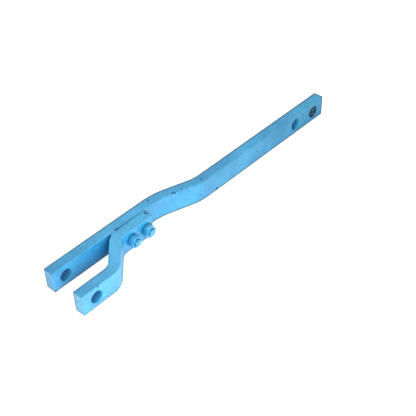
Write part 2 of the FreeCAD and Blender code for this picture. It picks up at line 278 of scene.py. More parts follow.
def drilledSteelWithPaintedShade():
    # Drilled bores: paint darkened towards the back by a painted shade, with fine rings from the
    # drill.
    # The end one is rubbed to bare dull steel by its pin, with lighter patches that are a painted
    # highlight.
    look = boreLook
    material = bpy.data.materials.new("drilledSteelWithPaintedShade")
    material.use_nodes = True
    tree = material.node_tree
    shader = tree.nodes["Principled BSDF"]
    place = addNode(tree, "ShaderNodeTexCoord").outputs["Object"]
    axes = addNode(tree, "ShaderNodeSeparateXYZ", {0: place})
    patchy = addNode(tree, "ShaderNodeTexNoise", {
        "Vector": place, "Scale": perMetre(look["patch"]), "Detail": 4.0, "Roughness": 0.65})
    grit = addNode(tree, "ShaderNodeTexNoise", {
        "Vector": place, "Scale": perMetre(look["highlightPatch"]), "Detail": 5.0, "Roughness": 0.7})
    highlightPatch = addNode(tree, "ShaderNodeMapRange", {
        "Value": grit.outputs["Fac"], "From Min": 0.51, "From Max": 0.64})
    # light patches mixed into the bare steel: a painted highlight
    steel = addNode(tree, "ShaderNodeMix", {
        "Factor": highlightPatch.outputs[0], 6: linear(look["steel"]), 7: linear(look["steelHighlight"])},
        data_type="RGBA")
    past = addNode(tree, "ShaderNodeMapRange", {
        "Value": axes.outputs["X"], "From Min": look["bareFrom"] * mm,
        "From Max": (look["bareFrom"] + 12) * mm, "To Min": -0.35, "To Max": 0.3})
    both = addNode(tree, "ShaderNodeMath", {0: past.outputs[0], 1: patchy.outputs["Fac"]})
    bare = addNode(tree, "ShaderNodeMapRange", {
        "Value": both.outputs[0], "From Min": 0.42, "From Max": 0.6})
    space = addNode(tree, "ShaderNodeAttribute", attribute_name="barSpace").outputs["Vector"]
    depth = addNode(tree, "ShaderNodeMath", {
        0: addNode(tree, "ShaderNodeSeparateXYZ", {0: space}).outputs["Y"],
        1: look["darkestPlace"] * mm}, operation="SUBTRACT")
    depth = addNode(tree, "ShaderNodeMath", {0: depth.outputs[0]}, operation="ABSOLUTE")
    ragged = addNode(tree, "ShaderNodeMath", {
        0: patchy.outputs["Fac"], 1: 6 * mm, 2: depth.outputs[0]}, operation="MULTIPLY_ADD")
    reached = addNode(tree, "ShaderNodeMapRange", {
        "Value": ragged.outputs[0], "From Min": (look["reach"][0] + 3) * mm,
        "From Max": (look["reach"][1] + 3) * mm})
    # painted shade that darkens the bore towards the back
    shadedBore = addNode(tree, "ShaderNodeMix", {
        "Factor": reached.outputs[0], 6: linear(look["deepShade"]), 7: linear(look["paint"])},
        data_type="RGBA")
    colour = addNode(tree, "ShaderNodeMix", {
        "Factor": bare.outputs[0], 6: shadedBore.outputs[2], 7: steel.outputs[2]},
        data_type="RGBA")
    rings = addNode(tree, "ShaderNodeTexWave", {
        "Vector": place, "Scale": bandsPerMetre(look["ring"]), "Distortion": 2.0, "Detail": 2.0},
        wave_type="BANDS", bands_direction="Y")
    bump = addNode(tree, "ShaderNodeBump", {
        "Strength": 0.3, "Distance": 0.2 * mm, "Height": rings.outputs["Fac"]})
    tree.links.new(colour.outputs[2], shader.inputs["Base Color"])
    tree.links.new(bump.outputs[0], shader.inputs["Normal"])
    shader.inputs["Roughness"].default_value = 0.5
    shader.inputs["IOR"].default_value = 1.5
    return material


# The bent bars: one rolled section swept along a centre line with two bends

barValues = {
    "width": 60,
    "thickness": 30,
    "rolledEdge": 2,
    "sawnEdge": 1,
    "rimChamfer": 1.2,
    "step": 3,  # mm between sections
    "strip": 7,  # mm between lengthwise edges on the flats
    # each bar's first corner, were it sharp, from its clevis end
    "bar": {"corner": 345.882, "angle": 18, "offset": -37.5, "bends": (200, 120)},
    "strap": {"corner": 112.640, "angle": 45, "offset": 75, "bends": (45, 45)},
    "pinHole": 33,
    "boltHole": 22,
    "pivotMargin": 44,
    "pivotSpacing": 80,
}


def centreLine(start, length, shape, step):
    # points along a line that runs in +X and steps sideways in two arcs, all in mm
    angle = math.radians(shape["angle"])
    way = math.copysign(1, shape["offset"])
    near, far = shape["bends"]
    arcStart = shape["corner"] - near * math.tan(angle / 2)
    run = abs(shape["offset"]) / math.tan(angle) + (near + far) * math.tan(angle / 2)
    arcEnd = arcStart + run
    points = []
    for x in np.linspace(0, arcStart, max(2, round(arcStart / step)), endpoint=False):
        points.append((x, 0))
    for turn in np.linspace(0, angle, max(6, round(angle * near / step)) + 1):
        points.append((arcStart + near * math.sin(turn), way * near * (1 - math.cos(turn))))
    slopeStart = points[-1]
    farArc = []
    for turn in np.linspace(angle, 0, max(6, round(angle * far / step)) + 1):
        farArc.append((arcEnd - far * math.sin(turn),
                       shape["offset"] - way * far * (1 - math.cos(turn))))
    slope = math.dist(slopeStart, farArc[0])
    for part in np.linspace(0, 1, max(2, round(slope / step)), endpoint=False)[1:]:
        points.append(tuple(a + (b - a) * part for a, b in zip(slopeStart, farArc[0])))
    points += farArc
    for x in np.linspace(arcEnd, length, max(2, round((length - arcEnd) / step)))[1:]:
        points.append((x, shape["offset"]))
    return [(start[0] + x, start[1] + y) for x, y in points]


def rolledSection(width, thickness, radius, strip, arcSteps=6):
    # one loop round the section, with a line of points beside each corner to hold the flats flat
    points = []
    halfX, halfY = thickness / 2 - radius, width / 2 - radius
    for quarter in range(4):
        cx = halfX * (1, -1, -1, 1)[quarter]
        cy = halfY * (1, 1, -1, -1)[quarter]
        for step in range(arcSteps + 1):
            a = math.pi / 2 * (quarter + step / arcSteps)
            points.append((cx + radius * math.cos(a), cy + radius * math.sin(a)))
        last = points[-1]
        a = math.pi / 2 * (quarter + 1)
        ahead = (-math.sin(a), math.cos(a))
        run = 2 * (halfX, halfY)[quarter % 2]
        count = max(1, round((run - 2) / strip))
        for i in range(count + 1):
            d = 1 + (run - 2) * i / count
            points.append((last[0] + ahead[0] * d, last[1] + ahead[1] * d))
    return points


def polyCurve(name, points, closed):
    curve = bpy.data.curves.new(name, "CURVE")
    curve.dimensions = "3D"
    curve.twist_mode = "Z_UP"
    spline = curve.splines.new("POLY")
    spline.points.add(len(points) - 1)
    for point, (x, y) in zip(spline.points, points):
        point.co = (x * mm, y * mm, 0, 1)
    spline.use_cyclic_u = closed
    return curve


def holeCutters(name, holes, faces):
    # holes are (x, z, radius, chamfer) in mm; each cutter flares to a chamfer at both faces
    shape = bmesh.new()
    low, high = faces
    sides = 64
    for x, z, radius, chamfer in holes:
        rings = [(low - 3, radius + chamfer + 3 if chamfer else radius), (low + chamfer, radius),
                 (high - chamfer, radius), (high + 3, radius + chamfer + 3 if chamfer else radius)]
        loops = []
        for y, r in rings:
            loops.append([shape.verts.new((
                (x + r * math.cos(2 * math.pi * i / sides)) * mm, y * mm,
                (z + r * math.sin(2 * math.pi * i / sides)) * mm)) for i in range(sides)])
        for one, other in zip(loops, loops[1:]):
            for i in range(sides):
                j = (i + 1) % sides
                shape.faces.new((one[i], other[i], other[j], one[j]))
        shape.faces.new(loops[0])
        shape.faces.new(reversed(loops[-1]))
    bmesh.ops.recalc_face_normals(shape, faces=shape.faces)
    mesh = bpy.data.meshes.new(name)
    shape.to_mesh(mesh)
    shape.free()
    return mesh


def sweptBarTree():
    tree, given = newTree("sweptBar", [
        ("Centre line", "Geometry"), ("Section", "Object"), ("Cutters", "Object"),
        ("Width", "Float"), ("Thickness", "Float"), ("Sawn edge", "Float"),
        ("Paint", "Material"), ("Sawn paint", "Material"), ("Bore paint", "Material")])
    section = addNode(tree, "GeometryNodeObjectInfo", {"Object": given["Section"]})
    swept = addNode(tree, "GeometryNodeCurveToMesh", {
        "Curve": given["Centre line"], "Profile Curve": section.outputs["Geometry"],
        "Fill Caps": True})
    painted = addNode(tree, "GeometryNodeSetMaterial", {
        0: swept.outputs[0], "Material": given["Paint"]})
    # the caps move out by the sawn edge and shrink by it, which leaves a chamfer round each end,
    # and four more rings of faces inside it keep the rubbed edge narrow
    normal = addNode(tree, "GeometryNodeInputNormal").outputs[0]
    side = addNode(tree, "ShaderNodeSeparateXYZ", {0: normal})
    alongX = addNode(tree, "ShaderNodeMath", {0: side.outputs["X"]}, operation="ABSOLUTE")
    caps = addNode(tree, "ShaderNodeMath", {
        0: alongX.outputs[0], 1: 0.999}, operation="GREATER_THAN")
    geometry, picked = painted.outputs[0], caps.outputs[0]
    for way in (1.0, 0.0, 0.0, 0.0, 0.0):
        out = addNode(tree, "ShaderNodeMath", {0: given["Sawn edge"], 1: way}, operation="MULTIPLY")
        pushed = addNode(tree, "GeometryNodeExtrudeMesh", {
            "Mesh": geometry, "Selection": picked, "Offset Scale": out.outputs[0],
            "Individual": False}, mode="FACES")
        geometry, picked = pushed.outputs["Mesh"], pushed.outputs["Top"]
        for size, axis in (("Width", (0, 0, 1)), ("Thickness", (0, 1, 0))):
            inset = addNode(tree, "ShaderNodeMath", {
                0: given["Sawn edge"], 1: 1.0 if way else 1.5}, operation="MULTIPLY")
            share = addNode(tree, "ShaderNodeMath", {
                0: inset.outputs[0], 1: given[size]}, operation="DIVIDE")
            scale = addNode(tree, "ShaderNodeMath", {
                0: share.outputs[0], 1: -2.0, 2: 1.0}, operation="MULTIPLY_ADD")
            geometry = addNode(tree, "GeometryNodeScaleElements", {
                "Geometry": geometry, "Selection": picked, "Scale": scale.outputs[0],
                "Axis": axis}, domain="FACE", scale_mode="SINGLE_AXIS").outputs[0]
    sawn = addNode(tree, "GeometryNodeSetMaterial", {
        0: geometry, "Selection": caps.outputs[0], "Material": given["Sawn paint"]})
    cutters = addNode(tree, "GeometryNodeObjectInfo", {"Object": given["Cutters"]})
    bores = addNode(tree, "GeometryNodeSetMaterial", {
        0: cutters.outputs["Geometry"], "Material": given["Bore paint"]})
    drilled = addNode(tree, "GeometryNodeMeshBoolean", {
        "Mesh 1": sawn.outputs[0], "Mesh 2": bores.outputs[0]},
        operation="DIFFERENCE", solver="EXACT")
    endTree(tree, drilled.outputs[0])
    return tree


markValues = {
    # mm off a corner where each mark is full and where it is gone
    "rubbed": (1.2, 7.2),
    "rubbedEnd": (2.5, 7.0),
    "seamShade": (1.2, 3.6),
    "rim": 0.35,  # how rubbed the holes' rims are
    "rubbingFades": 15,  # mm in which a corner's rubbing ends
    "handled": (45, 95),  # X in mm where the soiling on top starts to fade and is gone
    # mm along the seam between the bars, and how dark its painted shade is there
    "seam": ((0, 0), (3, 1), (10, 1), (18, 0.55), (50, 0.5), (98, 0.2), (99, 0.2)),
    # the same painted shade on the flats that face each other in the narrow gap before it
    "gap": ((-55, 0), (-5, 0.33), (3, 0.33)),
}


def markBar(piece, line, holes, rubbing, endRubbing, soiled, seam):
    # Adds where each point lies along, across and over the bar, how rubbed it is, and its dirt and
    # painted shade.
    # rubbing is the wear of the long corners and the X where it ends, by the signs of the
    # sideways place and of the height.
    # endRubbing is the wear round each end's face: at its back, front, top and bottom edges.
    # soiled is the dirt on top where the hitch pin is handled.
    # seam is the side that touches the other bar, -1 or 1, and where that starts along X.
    marks = markValues
    mesh = piece.data
    values = barValues
    count = len(mesh.vertices)
    places = np.empty(count * 3)
    mesh.vertices.foreach_get("co", places)
    places = places.reshape(-1, 3) / mm
    ends = np.array(line)
    steps = np.diff(ends, axis=0)
    lengths = np.linalg.norm(steps, axis=1)
    starts = np.concatenate(([0], np.cumsum(lengths)))[:-1]
    best = np.full(count, 1e9)
    along = np.zeros(count)
    across = np.zeros(count)
    for origin, step, length, start in zip(ends[:-1], steps, lengths, starts):
        unit = step / length
        rel = places[:, :2] - origin
        s = rel @ unit
        t = rel @ np.array((-unit[1], unit[0]))
        miss = np.hypot(s - np.clip(s, 0, length), t)
        closer = miss < best - 1e-9
        best[closer] = miss[closer]
        along[closer] = start + s[closer]
        across[closer] = t[closer]
    height = places[:, 2]
    halfX, halfY = values["thickness"] / 2, values["width"] / 2
    corner = np.hypot(halfX - np.abs(across), halfY - np.abs(height))
    wear = np.interp(corner, marks["rubbed"], (1, 0))
    shares = np.array([rubbing[(t > 0, z > 0)] for t, z in zip(across, height)])
    wear *= shares[:, 0] * np.clip((shares[:, 1] - places[:, 0]) / marks["rubbingFades"], 0, 1)
    whole = starts[-1] + lengths[-1]
    fromEnd = np.minimum(along, whole - along) + values["sawnEdge"]
    for part, edges in enumerate(endRubbing):
        here = (along > whole / 2) == bool(part)
        toEdges = (halfX - across, halfX + across, halfY - height, halfY + height)
        for share, toEdge in zip(edges, toEdges):
            endEdge = np.interp(np.maximum(fromEnd, toEdge), marks["rubbedEnd"], (1, 0))
            wear = np.maximum(wear, share * endEdge * here)
    for x, z, radius, chamfer in holes:
        rim = np.hypot(places[:, 0] - x, places[:, 2] - z) - radius
        nearRim = (rim > -0.1) & (rim < chamfer + 0.05)
        wear[nearRim] = np.maximum(wear[nearRim], marks["rim"])
    side, first = seam
    x = places[:, 0]
    # painted shade in the seam where the bars touch, and in the narrow gap before it
    touching = np.interp(x - first, *zip(*marks["seam"]), right=0)
    touching *= (np.sign(across) == side) * np.interp(corner, marks["seamShade"], (1, 0))
    handled = soiled * np.interp(x, marks["handled"], (1, 0)) * (height > halfY - 0.1)
    narrow = np.interp(x - first, *zip(*marks["gap"]), right=0) * (side * across > halfX - 0.1)
    grime = np.maximum(touching, np.maximum(handled, narrow))
    space = np.column_stack((along, across, height)) * mm
    spaces = mesh.attributes.new("barSpace", "FLOAT_VECTOR", "POINT")
    spaces.data.foreach_set("vector", space.ravel())
    for name, values in (("wear", wear * (1 - grime)), ("grime", grime)):
        mesh.attributes.new(name, "FLOAT", "POINT").data.foreach_set("value", values)


def makeBar(name, tree, node, shape, holes, materials, rubbing, endRubbing, soiled, seam):
    values = barValues
    low, high = (corner / mm for corner in boxOf(node))
    edge = values["sawnEdge"]
    half = values["thickness"] / 2
    side = low.y + half if shape["offset"] > 0 else high.y - half
    inner = {**shape, "corner": shape["corner"] - edge}
    line = centreLine((low.x + edge, side), high.x - low.x - 2 * edge, inner, values["step"])
    section = bpy.data.objects.new(name + "Section", polyCurve(name + "Section", rolledSection(
        values["width"], values["thickness"], values["rolledEdge"], values["strip"]), True))
    cutters = bpy.data.objects.new(name + "Cutters", bpy.data.meshes.new(name + "Cutters"))
    meshes = []
    for x, z, radius, chamfer in holes:
        level = side if x < low.x + shape["corner"] else side + shape["offset"]
        meshes.append(holeCutters(name + "Cutter", [(x, z, radius, chamfer)],
                                  (level - half, level + half)))
    joined = bmesh.new()
    for mesh in meshes:
        joined.from_mesh(mesh)
        bpy.data.meshes.remove(mesh)
    joined.to_mesh(cutters.data)
    joined.free()
    for helper in (section, cutters):
        bpy.context.scene.collection.objects.link(helper)
    piece = bake(name, tree, {
        "Section": section, "Cutters": cutters, "Width": values["width"] * mm,
        "Thickness": values["thickness"] * mm, "Sawn edge": edge * mm, "Paint": materials[0],
        "Sawn paint": materials[1], "Bore paint": materials[2]},
        start=polyCurve(name + "Line", line, False))
    for helper in (section, cutters):
        bpy.data.objects.remove(helper)
    markBar(piece, line, holes, rubbing, endRubbing, soiled, seam)
    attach(piece, "bar")
    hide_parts(node)
    print(name, len(piece.data.polygons), "faces")
    return piece


def boltPlace(node):
    low, high = boxOf(node)
    return (low.x + high.x) / 2 / mm, (low.z + high.z) / 2 / mm


barLow, barHigh = (corner / mm for corner in boxOf("drawbar"))
bolts = [boltPlace("front_bolt"), boltPlace("rear_bolt")]
pin = (0, 0, barValues["pinHole"] / 2, barValues["rimChamfer"])
boltHoles = [(x, z, barValues["boltHole"] / 2, 0) for x, z in bolts]
pivots = [(barHigh.x - barValues["pivotMargin"] - barValues["pivotSpacing"] * i, 0,
           barValues["pinHole"] / 2, barValues["rimChamfer"]) for i in range(2)]

strapEnd = boxOf("clevis_strap")[1].x / mm
seamStart = strapEnd - 98  # X in mm where the two bars come to touch
# paint chips; the spot at X 256 here and those at X 250 and 252 on the strap are painted shadow
# cast by the strap's far end
barChipsAndShadow = [  # x, y, z, radius in mm
    (286, 55, 30, 3.9), (345, 29, 30, 3.6), (350, 26, 30, 4.4), (433, 12, 30, 3.6),
    (479, 0, -25, 6), (642, 0, 3, 3.2), (-38, 67, 29, 5.5), (-38, 38, -29, 7),
    (932, 1, 29, 5), (419, 0, -8, 3.4), (861, 5, 30, 2.2), (256, 37.5, 23, 4.5)]
# the last two are painted shadow cast by the strap's far end
strapChipsAndShadow = [(6, -67, 30, 3.0), (250, 28, 30, 6), (252, 21, 30, 4.5)]
endChips = [
    (-38, 67, 30, 6), (-38, 39, 30, 2.8), (-38, 53, 30, 2.6), (-38, 38, -29, 7),
    (933, 1, 30, 5.5), (-42, -48, 4, 3.4), (-42, -66, 9, 3.4), (-42, -38, 30, 4.5)]

bore = drilledSteelWithPaintedShade()
sawn = sawnSteelEnamelled(endChips)
tree = sweptBarTree()
# long corners by (at the back, at the top): how rubbed, and the X in mm where that ends
makeBar("mainBar", tree, "drawbar", barValues["bar"], [pin, *boltHoles, *pivots],
        (enamelOnSteel("enamelOnFlatBar", spots=barChipsAndShadow), sawn, bore),
        {(True, True): (1.0, 999), (False, True): (0.25, 999), (True, False): (0.7, 999),
         (False, False): (1.0, 999)},
        ((0.7, 0.12, 0.36, 0.6), (1.0, 1.0, 1.0, 0.9)), 0.3, (-1, seamStart))
makeBar("clevisStrap", tree, "clevis_strap", barValues["strap"], [pin, *boltHoles],
        (enamelOnSteel("enamelOnStrap", spots=strapChipsAndShadow), sawn, bore),
        {(True, True): (1.0, 75), (False, True): (0.2, 999), (True, False): (0.6, 999),
         (False, False): (0.8, 999)},
        ((0.8, 0.1, 0.3, 0.7), (0.5, 0.3, 0.3, 0.5)), 0.24, (1, seamStart))


# A run of paint that closed the narrow end of the gap between the two bars

runLook = {
    "centre": (strapEnd - 104.0, 35.7, 28.1),
    "size": (17.0, 6.2, 3.4),
    "lean": 8.0,  # degrees that it turns from the bar towards the strap's bend
    "uneven": 0.25,  # mm
    "wave": 4.0,  # mm across each bump
}


def paintRunTree():
    look = runLook
    tree, given = newTree("paintRun", [("Paint", "Material")])
    drop = addNode(tree, "GeometryNodeMeshUVSphere", {"Segments": 32, "Rings": 16, "Radius": 0.5})
    laid = addNode(tree, "GeometryNodeTransform", {
        "Geometry": drop.outputs["Mesh"], "Scale": [s * mm for s in look["size"]],
        "Rotation": (0, 0, math.radians(look["lean"])),
        "Translation": [c * mm for c in look["centre"]]})
    wave = addNode(tree, "ShaderNodeTexNoise", {"Scale": perMetre(look["wave"]), "Detail": 1.0})
    middle = addNode(tree, "ShaderNodeVectorMath", {
        0: wave.outputs["Color"], 1: (0.5, 0.5, 0.9)}, operation="SUBTRACT")
    shift = addNode(tree, "ShaderNodeVectorMath", {
        0: middle.outputs[0], "Scale": look["uneven"] * 2 * mm}, operation="SCALE")
    uneven = addNode(tree, "GeometryNodeSetPosition", {
        "Geometry": laid.outputs[0], "Offset": shift.outputs[0]})
    painted = addNode(tree, "GeometryNodeSetMaterial", {
        0: uneven.outputs[0], "Material": given["Paint"]})
    endTree(tree, painted.outputs[0])
    return tree


paintRun = bake("paintRun", paintRunTree(), {"Paint": bpy.data.materials["enamelOnStrap"]})
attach(paintRun, "bar")
print("bars made")


# Bolts, nuts and lock washers, each made upright on its own axis and then laid along -Y

fastenerValues = {
    "across": 30,
    "headHeight": 10,
    "nutHeight": 14,
    "crown": 28.5,  # round flat left on a hexagon's face
    "crownAngle": 30,
    "face": 28,  # raised round face that each nut bears on
    "faceHeight": 0.6,
    "bore": 20.1,
    "sink": 1.0,
    "boltDiameter": 20,
    "boltLength": 82.5,
    "tip": 1,
    "pitch": 2.5,
    "threadDepth": 1.2,
    "threadLength": 46,
    "washerOuter": 33.6,
    "washerBore": 20.2,
    "washerHeight": 4,
    "slit": 3,
    "slitLean": 25,
    "rounding": 0.35,  # soft edges under the paint
    "turns": {"front": 51, "rear": 5},  # degrees that each nut came to rest at
}


def lieDown(tree, geometry, given):
    # turns a piece about its own axis, lays it along -Y and moves it to its place
    return addNode(tree, "GeometryNodeTransform", {
        "Geometry": geometry, "Translation": given["Place"], "Rotation": given["Turn"]}).outputs[0]


def moved(tree, geometry, z):
    return addNode(tree, "GeometryNodeTransform", {
        "Geometry": geometry, "Translation": (0, 0, z)}).outputs[0]


def cut(tree, body, tools):
    return addNode(tree, "GeometryNodeMeshBoolean", {"Mesh 1": body, "Mesh 2": tools},
                   operation="DIFFERENCE", solver="EXACT").outputs[0]


def combine(tree, operation, shapes):
    return addNode(tree, "GeometryNodeMeshBoolean", {"Mesh 2": shapes},
                   operation=operation, solver="EXACT").outputs[0]


def hexagonTree(name, height, bored):
    # a hexagon turned to a crown at its top; a nut is bored, sunk and has a raised round face
    v = fastenerValues
    rise = math.tan(math.radians(v["crownAngle"]))
    tree, given = newTree(name, [("Place", "Vector"), ("Turn", "Rotation"), ("Paint", "Material")])
    base = v["faceHeight"] if bored else 0
    prism = addNode(tree, "GeometryNodeMeshCylinder", {
        "Vertices": 6, "Radius": v["across"] / 2 / math.cos(math.pi / 6) * mm,
        "Depth": (height - base) * mm})
    body = moved(tree, prism.outputs["Mesh"], (height + base) / 2 * mm)
    over, under = 2, 3  # mm that the crown's cone runs past the faces
    cone = addNode(tree, "GeometryNodeMeshCone", {
        "Vertices": 96, "Radius Top": (v["crown"] / 2 - over / rise) * mm,
        "Radius Bottom": (v["crown"] / 2 + (height + under) / rise) * mm,
        "Depth": (height + over + under) * mm})
    body = combine(tree, "INTERSECT", [body, moved(tree, cone.outputs["Mesh"], -under * mm)])
    if bored:
        face = addNode(tree, "GeometryNodeMeshCylinder", {
            "Vertices": 72, "Radius": v["face"] / 2 * mm, "Depth": (base + 1) * mm})
        body = combine(tree, "UNION", [
            body, moved(tree, face.outputs["Mesh"], (base + 1) / 2 * mm)])
        hole = addNode(tree, "GeometryNodeMeshCylinder", {
            "Vertices": 72, "Radius": v["bore"] / 2 * mm, "Depth": (height + 6) * mm})
        sink = addNode(tree, "GeometryNodeMeshCone", {
            "Vertices": 72, "Radius Bottom": v["bore"] / 2 * mm,
            "Radius Top": (v["bore"] / 2 + v["sink"] + 1) * mm, "Depth": (v["sink"] + 1) * mm})
        body = cut(tree, body, [moved(tree, hole.outputs["Mesh"], height / 2 * mm),
                                moved(tree, sink.outputs["Mesh"], (height - v["sink"]) * mm)])
    painted = addNode(tree, "GeometryNodeSetMaterial", {0: body, "Material": given["Paint"]})
    endTree(tree, lieDown(tree, painted.outputs[0], given))
    return tree


def washerTree():
    v = fastenerValues
    tree, given = newTree("lockWasher", [
        ("Place", "Vector"), ("Turn", "Rotation"), ("Paint", "Material")])
    ring = addNode(tree, "GeometryNodeMeshCylinder", {
        "Vertices": 96, "Radius": v["washerOuter"] / 2 * mm, "Depth": v["washerHeight"] * mm})
    hole = addNode(tree, "GeometryNodeMeshCylinder", {
        "Vertices": 72, "Radius": v["washerBore"] / 2 * mm, "Depth": v["washerHeight"] * 2 * mm})
    slit = addNode(tree, "GeometryNodeMeshCube", {
        "Size": (v["slit"] * mm, v["washerOuter"] * mm, v["washerHeight"] * 3 * mm)})
    angle = math.radians(v["slitLean"])
    shift = v["slit"] / 2 + v["washerHeight"] / 2 * math.tan(angle)
    lean = addNode(tree, "GeometryNodeTransform", {
        "Geometry": slit.outputs["Mesh"], "Rotation": (0, angle, 0),
        "Translation": (shift * mm, -v["washerOuter"] / 2 * mm, 0)})
    body = cut(tree, ring.outputs["Mesh"], [hole.outputs["Mesh"], lean.outputs[0]])
    body = moved(tree, body, v["washerHeight"] / 2 * mm)
    painted = addNode(tree, "GeometryNodeSetMaterial", {0: body, "Material": given["Paint"]})
    endTree(tree, lieDown(tree, painted.outputs[0], given))
    return tree


def shankTree():
    # a grid wound round the axis: each row climbs one pitch a turn, so crests and roots stay sharp
    v = fastenerValues
    columns, perPitch = 48, 8
    start = -2.0  # mm, inside the head
    span = v["boltLength"] - start
    rows = math.ceil(span / v["pitch"] + 1) * perPitch
    tree, given = newTree("boltShank", [
        ("Place", "Vector"), ("Turn", "Rotation"), ("Paint", "Material"),
        ("Thread paint", "Material")])

    def calc(operation, *values):
        inputs = dict(enumerate(values))
        return addNode(tree, "ShaderNodeMath", inputs, operation=operation).outputs[0]

    grid = addNode(tree, "GeometryNodeMeshGrid", {
        "Size X": 1, "Size Y": 1, "Vertices X": columns + 1, "Vertices Y": rows + 1})
    place = addNode(tree, "GeometryNodeInputPosition").outputs[0]
    axes = addNode(tree, "ShaderNodeSeparateXYZ", {0: place})
    turn = calc("ADD", axes.outputs["X"], 0.5)
    rise = rows / perPitch * v["pitch"]
    climb = calc("MULTIPLY_ADD", calc("ADD", axes.outputs["Y"], 0.5), rise, start)
    height = calc("MULTIPLY_ADD", turn, -v["pitch"], climb)
    height = calc("MINIMUM", calc("MAXIMUM", height, start), v["boltLength"])
    turns = calc("DIVIDE", calc("SUBTRACT", height, start), v["pitch"])
    phase = calc("FRACT", calc("ADD", turns, turn))
    groove = calc("SUBTRACT", 1.0, calc("ABSOLUTE", calc("MULTIPLY_ADD", phase, 2.0, -1.0)))
    threadStart = v["boltLength"] - v["threadLength"]
    fade = calc("DIVIDE", calc("SUBTRACT", height, threadStart), v["pitch"])
    fade = calc("MINIMUM", calc("MAXIMUM", fade, 0.0), 1.0)
    outer = v["boltDiameter"] / 2
    radius = calc("MULTIPLY_ADD", calc("MULTIPLY", groove, fade), -v["threadDepth"], outer)
    tipLine = calc("SUBTRACT", outer + v["boltLength"] - v["tip"], height)
    radius = calc("MULTIPLY", calc("MINIMUM", radius, tipLine), mm)
    angle = calc("MULTIPLY", turn, 2 * math.pi)
    wound = addNode(tree, "ShaderNodeCombineXYZ", {
        "X": calc("MULTIPLY", radius, calc("COSINE", angle)),
        "Y": calc("MULTIPLY", radius, calc("SINE", angle)), "Z": calc("MULTIPLY", height, mm)})
    shank = addNode(tree, "GeometryNodeSetPosition", {
        "Geometry": grid.outputs["Mesh"], "Position": wound.outputs[0]})
    painted = addNode(tree, "GeometryNodeSetMaterial", {
        0: shank.outputs[0], "Material": given["Paint"]})
    # the same places are read again once the grid is wound, when Z is the height up the bolt
    painted = addNode(tree, "GeometryNodeSetMaterial", {
        0: painted.outputs[0], "Material": given["Thread paint"],
        "Selection": calc("GREATER_THAN", axes.outputs["Z"], threadStart * mm)})
    shells = [painted.outputs[0]]
    for top, size in ((v["boltLength"], outer - v["tip"]), (start, outer)):
        disc = addNode(tree, "GeometryNodeMeshCircle", {
            "Vertices": columns, "Radius": size * mm}, fill_type="NGON")
        painted = addNode(tree, "GeometryNodeSetMaterial", {
            0: disc.outputs[0], "Material": given["Paint"]})
        shells.append(moved(tree, painted.outputs[0], top * mm))
    parts = addNode(tree, "GeometryNodeJoinGeometry", {0: shells})
    closed = addNode(tree, "GeometryNodeMergeByDistance", {
        0: parts.outputs[0], "Distance": 0.01 * mm})
    endTree(tree, lieDown(tree, closed.outputs[0], given))
    return tree


fastenerLook = {
    "flats": "#2c9ac6",  # darker blue on the nuts' flats, and how much of it shows
    "flatShare": 0.6,
    "spring": "#0c648b",  # painted shade on the lock washers
    "springShare": 0.8,
    # painted shade on the bolts' threads round the nuts
    "thread": "#1683ad",
    "threadShare": 0.8,
    "shine": 0.35,
}


def enamelOnNut():
    # Nuts: their front faces keep the full colour and their flats are mixed towards a darker blue,
    # so the flats look darker.
    look = fastenerLook
    material = enamelOnSteel("enamelOnNut")
    tree = material.node_tree
    shader = tree.nodes["Principled BSDF"]
    full = shader.inputs["Base Color"].links[0].from_socket
    normal = addNode(tree, "ShaderNodeNewGeometry").outputs["Normal"]
    facing = addNode(tree, "ShaderNodeSeparateXYZ", {0: normal})
    flats = addNode(tree, "ShaderNodeMapRange", {
        "Value": facing.outputs["Y"], "From Min": -0.8, "From Max": -0.3,
        "To Max": look["flatShare"]})
    muted = addNode(tree, "ShaderNodeMix", {
        "Factor": flats.outputs[0], 6: full, 7: linear(look["flats"])}, data_type="RGBA")
    tree.links.new(muted.outputs[2], shader.inputs["Base Color"])
    return material


def shadedEnamel(name, part):
    # Spring steel and threads in a darker blue with less shine: painted shade, so that
    # the lock washers and the bolts' threads read as dark rings round the nuts.
    material = enamelOnSteel(name)
    tree = material.node_tree
    shader = tree.nodes["Principled BSDF"]
    full = shader.inputs["Base Color"].links[0].from_socket
    muted = addNode(tree, "ShaderNodeMix", {
        "Factor": fastenerLook[part + "Share"], 6: full, 7: linear(fastenerLook[part])},
        data_type="RGBA")
    tree.links.new(muted.outputs[2], shader.inputs["Base Color"])
    tree.links.remove(shader.inputs["Specular IOR Level"].links[0])
    shader.inputs["Specular IOR Level"].default_value = fastenerLook["shine"]
    return material


def fasten(name, node, pieces, ride):
    # joins baked shells that make one piece
    joined = bmesh.new()
    paints = []
    for piece in pieces:
        slots = list(piece.data.materials)
        fresh = len(joined.faces)
        joined.from_mesh(piece.data)
        joined.faces.ensure_lookup_table()
        for face in joined.faces[fresh:]:
            paint = slots[face.material_index]
            if paint not in paints:
                paints.append(paint)
            face.material_index = paints.index(paint)
    mesh = bpy.data.meshes.new(name)
    bmesh.ops.recalc_face_normals(joined, faces=joined.faces)
    joined.to_mesh(mesh)
    joined.free()
    for paint in paints:
        mesh.materials.append(paint)
    for piece in pieces:
        bpy.data.objects.remove(piece)
    mesh.set_sharp_from_angle(angle=math.radians(32))
    whole = bpy.data.objects.new(name, mesh)
    bpy.context.scene.collection.objects.link(whole)
    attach(whole, ride)
    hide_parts(node)
    print(name, len(mesh.polygons), "faces")
    return whole


